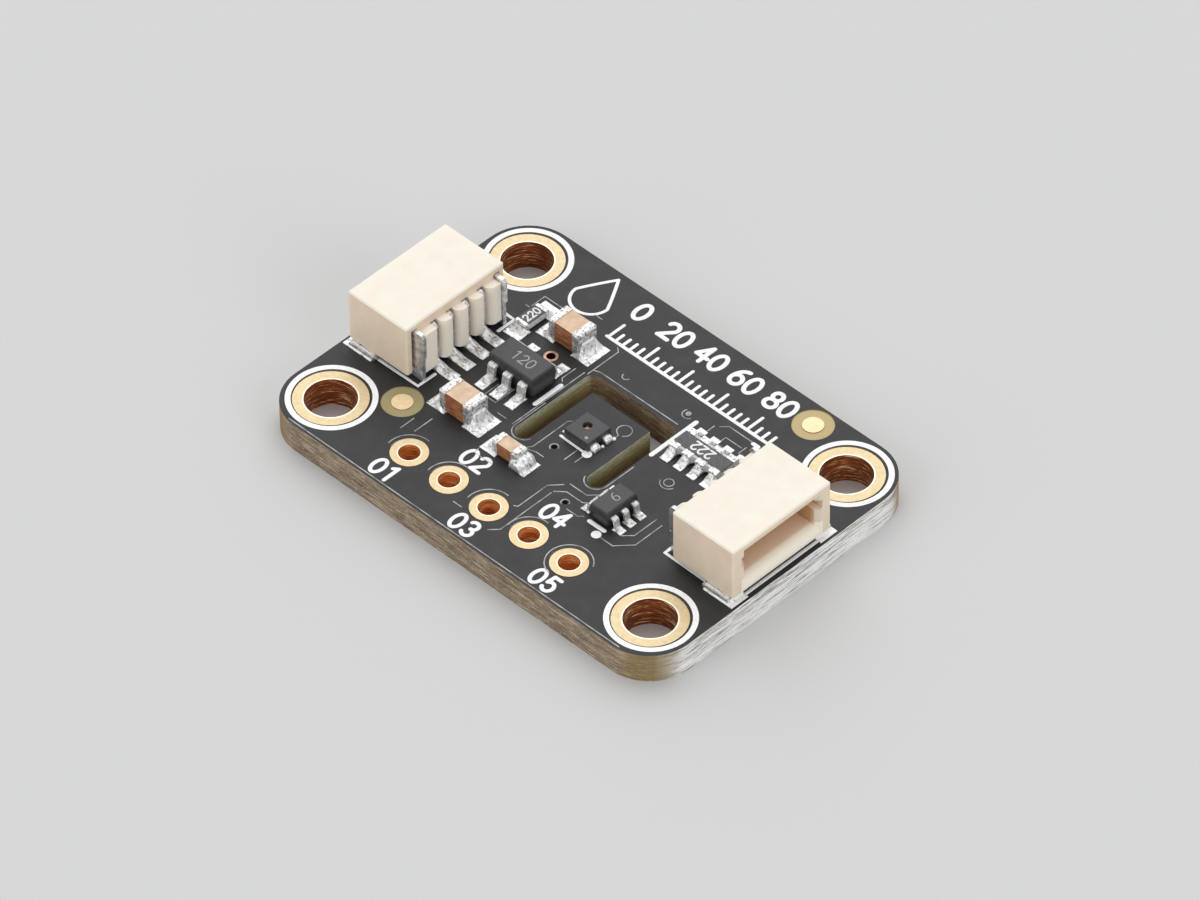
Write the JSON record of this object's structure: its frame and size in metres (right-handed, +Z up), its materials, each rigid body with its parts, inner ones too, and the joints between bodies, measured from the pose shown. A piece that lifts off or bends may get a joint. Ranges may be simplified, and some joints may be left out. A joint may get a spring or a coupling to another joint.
{
  "type": "temperature humidity sensor module",
  "caption": "Small sensor circuit board: a humidity and temperature sensor on a slotted tongue, two side-entry plug sockets, a pin header row and corner mounting holes.",
  "frame": {"origin": "centre of the board's underside", "axes": "+X along the board's long edge, from the left socket to the right one; +Y from the header row to the far long edge; +Z up, out of the component side"},
  "size_m": [0.025, 0.0176, 0.0048],
  "materials": {
    "board_laminate": "satin dark solder mask over glass-fibre laminate",
    "gold_plate": "thin pale gold over copper",
    "copper_ring": "dull copper",
    "ivory_nylon": "natural ivory moulding",
    "tinned_contact": "bright tin plate",
    "solder": "bright reflowed solder",
    "black_epoxy": "moulded dark epoxy",
    "package_lead": "tinned lead frame",
    "tan_ceramic": "sintered tan ceramic",
    "white_ceramic": "white alumina",
    "dark_glass": "dark glass coat",
    "tinned_cap": "rough tin plate",
    "element": "coppery dark film"
  },
  "bodies": {
    "root": {"back_fiducial": "gold_plate", "capacitor_solder": "solder", "circuit_board": "board_laminate", "front_capacitor_body": "tan_ceramic", "front_capacitor_terminals": "tinned_cap", "front_fiducial": "gold_plate", "header_ring_1": "gold_plate", "header_ring_2": "gold_plate", "header_ring_3": "gold_plate", "header_ring_4": "gold_plate", "header_ring_5": "gold_plate", "left_socket_back_anchor": "tinned_contact", "left_socket_contact_1": "tinned_contact", "left_socket_contact_2": "tinned_contact", "left_socket_contact_3": "tinned_contact", "left_socket_contact_4": "tinned_contact", "left_socket_front_anchor": "tinned_contact", "left_socket_housing": "ivory_nylon", "level_shifter_body": "black_epoxy", "level_shifter_lead_1": "package_lead", "level_shifter_lead_2": "package_lead", "level_shifter_lead_3": "package_lead", "level_shifter_lead_4": "package_lead", "level_shifter_lead_5": "package_lead", "level_shifter_lead_6": "package_lead", "mounting_ring_1": "gold_plate", "mounting_ring_2": "gold_plate", "mounting_ring_3": "gold_plate", "mounting_ring_4": "gold_plate", "package_solder": "solder", "rear_capacitor_body": "tan_ceramic", "rear_capacitor_terminals": "tinned_cap", "regulator_body": "black_epoxy", "regulator_lead_1": "package_lead", "regulator_lead_2": "package_lead", "regulator_lead_3": "package_lead", "regulator_lead_4": "package_lead", "regulator_lead_5": "package_lead", "resistor_array_body": "white_ceramic", "resistor_array_coat": "dark_glass", "resistor_array_terminals": "tinned_cap", "resistor_body": "white_ceramic", "resistor_coat": "dark_glass", "resistor_solder": "solder", "resistor_terminals": "tinned_cap", "right_socket_back_anchor": "tinned_contact", "right_socket_contact_1": "tinned_contact", "right_socket_contact_2": "tinned_contact", "right_socket_contact_3": "tinned_contact", "right_socket_contact_4": "tinned_contact", "right_socket_front_anchor": "tinned_contact", "right_socket_housing": "ivory_nylon", "sensor_element": "element", "sensor_package": "black_epoxy", "sensor_solder": "solder", "small_capacitor_body": "tan_ceramic", "small_capacitor_terminals": "tinned_cap", "socket_solder": "solder", "via_ring": "copper_ring"}
  },
  "joints": []
}
